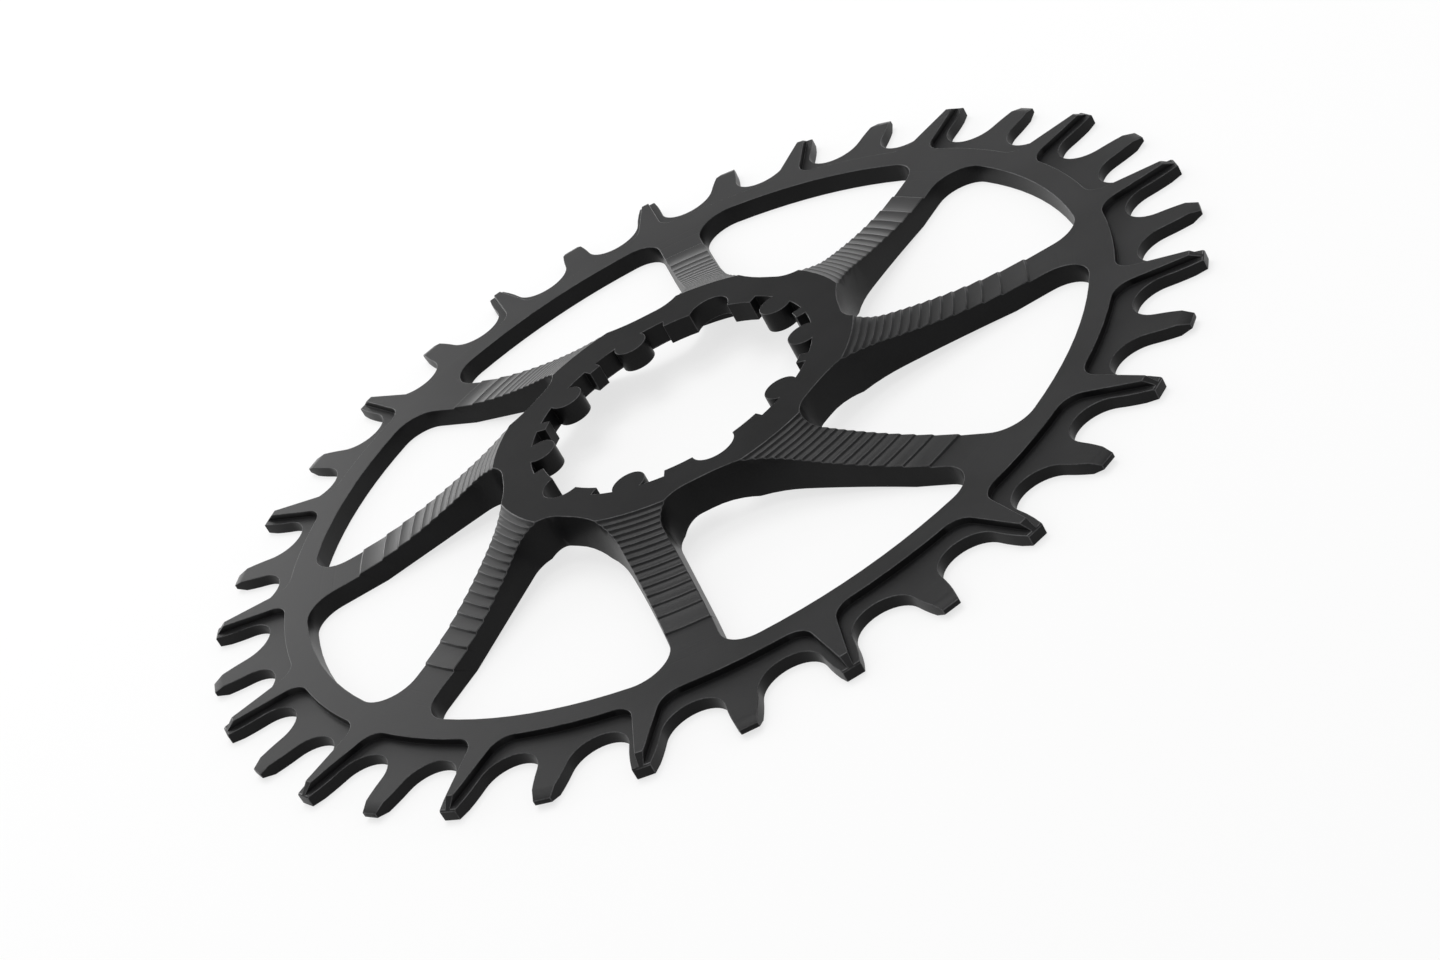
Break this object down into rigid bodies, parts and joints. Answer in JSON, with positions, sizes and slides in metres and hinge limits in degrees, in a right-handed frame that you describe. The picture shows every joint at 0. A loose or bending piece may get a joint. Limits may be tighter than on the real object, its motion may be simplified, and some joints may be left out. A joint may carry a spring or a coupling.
{
  "type": "bicycle chainring",
  "caption": "Dished one-piece bicycle chainring with swept stepped spokes, alternating narrow and wide teeth and a splined direct-mount opening; carries the chain on a crank.",
  "frame": {"origin": "on the ring's axis, in the plane of the flat back of the rim and teeth", "axes": "+Z along the axis, from the flat back towards the raised hub face; +X through the middle of a tooth gap"},
  "size_m": [0.1468, 0.1472, 0.0075],
  "materials": {
    "anodised_black": "satin black anodised, with fine machining marks"
  },
  "bodies": {
    "root": {"chainring": "anodised_black"}
  },
  "joints": []
}
